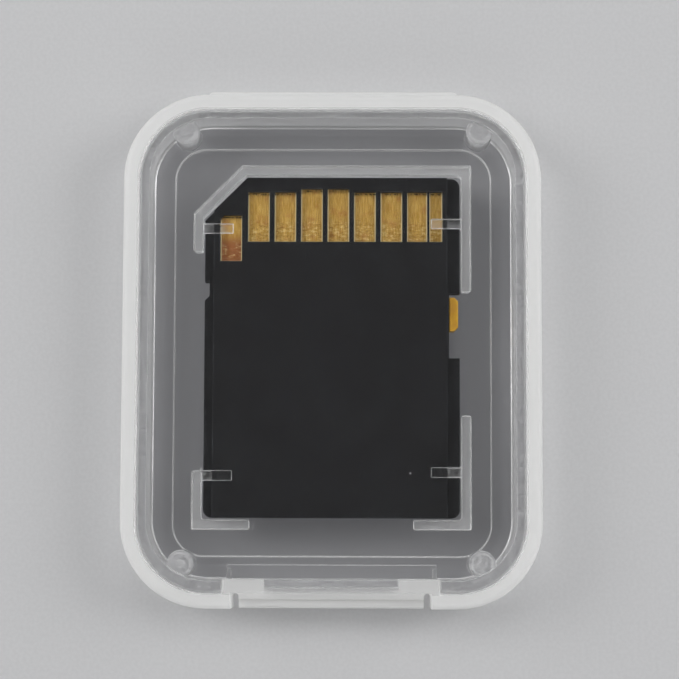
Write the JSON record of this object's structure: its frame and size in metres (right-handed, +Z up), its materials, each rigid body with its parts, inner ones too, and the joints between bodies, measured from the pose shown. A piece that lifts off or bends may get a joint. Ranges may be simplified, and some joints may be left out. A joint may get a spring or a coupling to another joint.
{
  "type": "memory card case",
  "caption": "Clear hinged clamshell case, with a ribbed pocket that holds a full-size memory card face up behind a see-through plate.",
  "frame": {"origin": "centre of the cover's outside face, on the plane the case lies on, midway between the hinge edge and the opening edge, without the thumb ledge", "axes": "+X along the hinge edge, +Y from the hinge edge to the opening edge, +Z up from the cover to the tray, toward the card's contacts"},
  "size_m": [0.0392, 0.049, 0.0066],
  "materials": {
    "clear_polypropylene": "moulded, polished windows and frosted walls",
    "card_plastic": "fine moulded texture",
    "gold_plating": "worn gold flash on copper",
    "circuit_board": "solder mask",
    "chip_epoxy": "moulded",
    "capacitor_ceramic": "fired",
    "switch_plastic": "moulded"
  },
  "bodies": {
    "cover": {"cover_shell": "clear_polypropylene", "hinge_film": "clear_polypropylene"},
    "tray": {"tray_shell": "clear_polypropylene", "card_front_shell": "card_plastic", "card_back_shell": "card_plastic", "card_board": "circuit_board", "contact_pad_1": "gold_plating", "contact_pad_2": "gold_plating", "contact_pad_3": "gold_plating", "contact_pad_4": "gold_plating", "contact_pad_5": "gold_plating", "contact_pad_6": "gold_plating", "contact_pad_7": "gold_plating", "contact_pad_8": "gold_plating", "contact_pad_9": "gold_plating", "memory_chip": "chip_epoxy", "controller_chip": "chip_epoxy", "capacitors": "capacitor_ceramic", "resistors": "chip_epoxy"},
    "lock_switch": {"lock_switch": "switch_plastic"}
  },
  "joints": [
    {"name": "case_hinge", "type": "hinge", "parent": "cover", "child": "tray", "pos_m": [0, -0.02415, 0.0033], "axis": [1, 0, 0], "range_deg": [0, 180], "deforming": ["hinge_film"]},
    {"name": "lock_slide", "type": "slide", "parent": "tray", "child": "lock_switch", "axis": [0, -1, 0], "range_m": [0, 0.0022]}
  ]
}
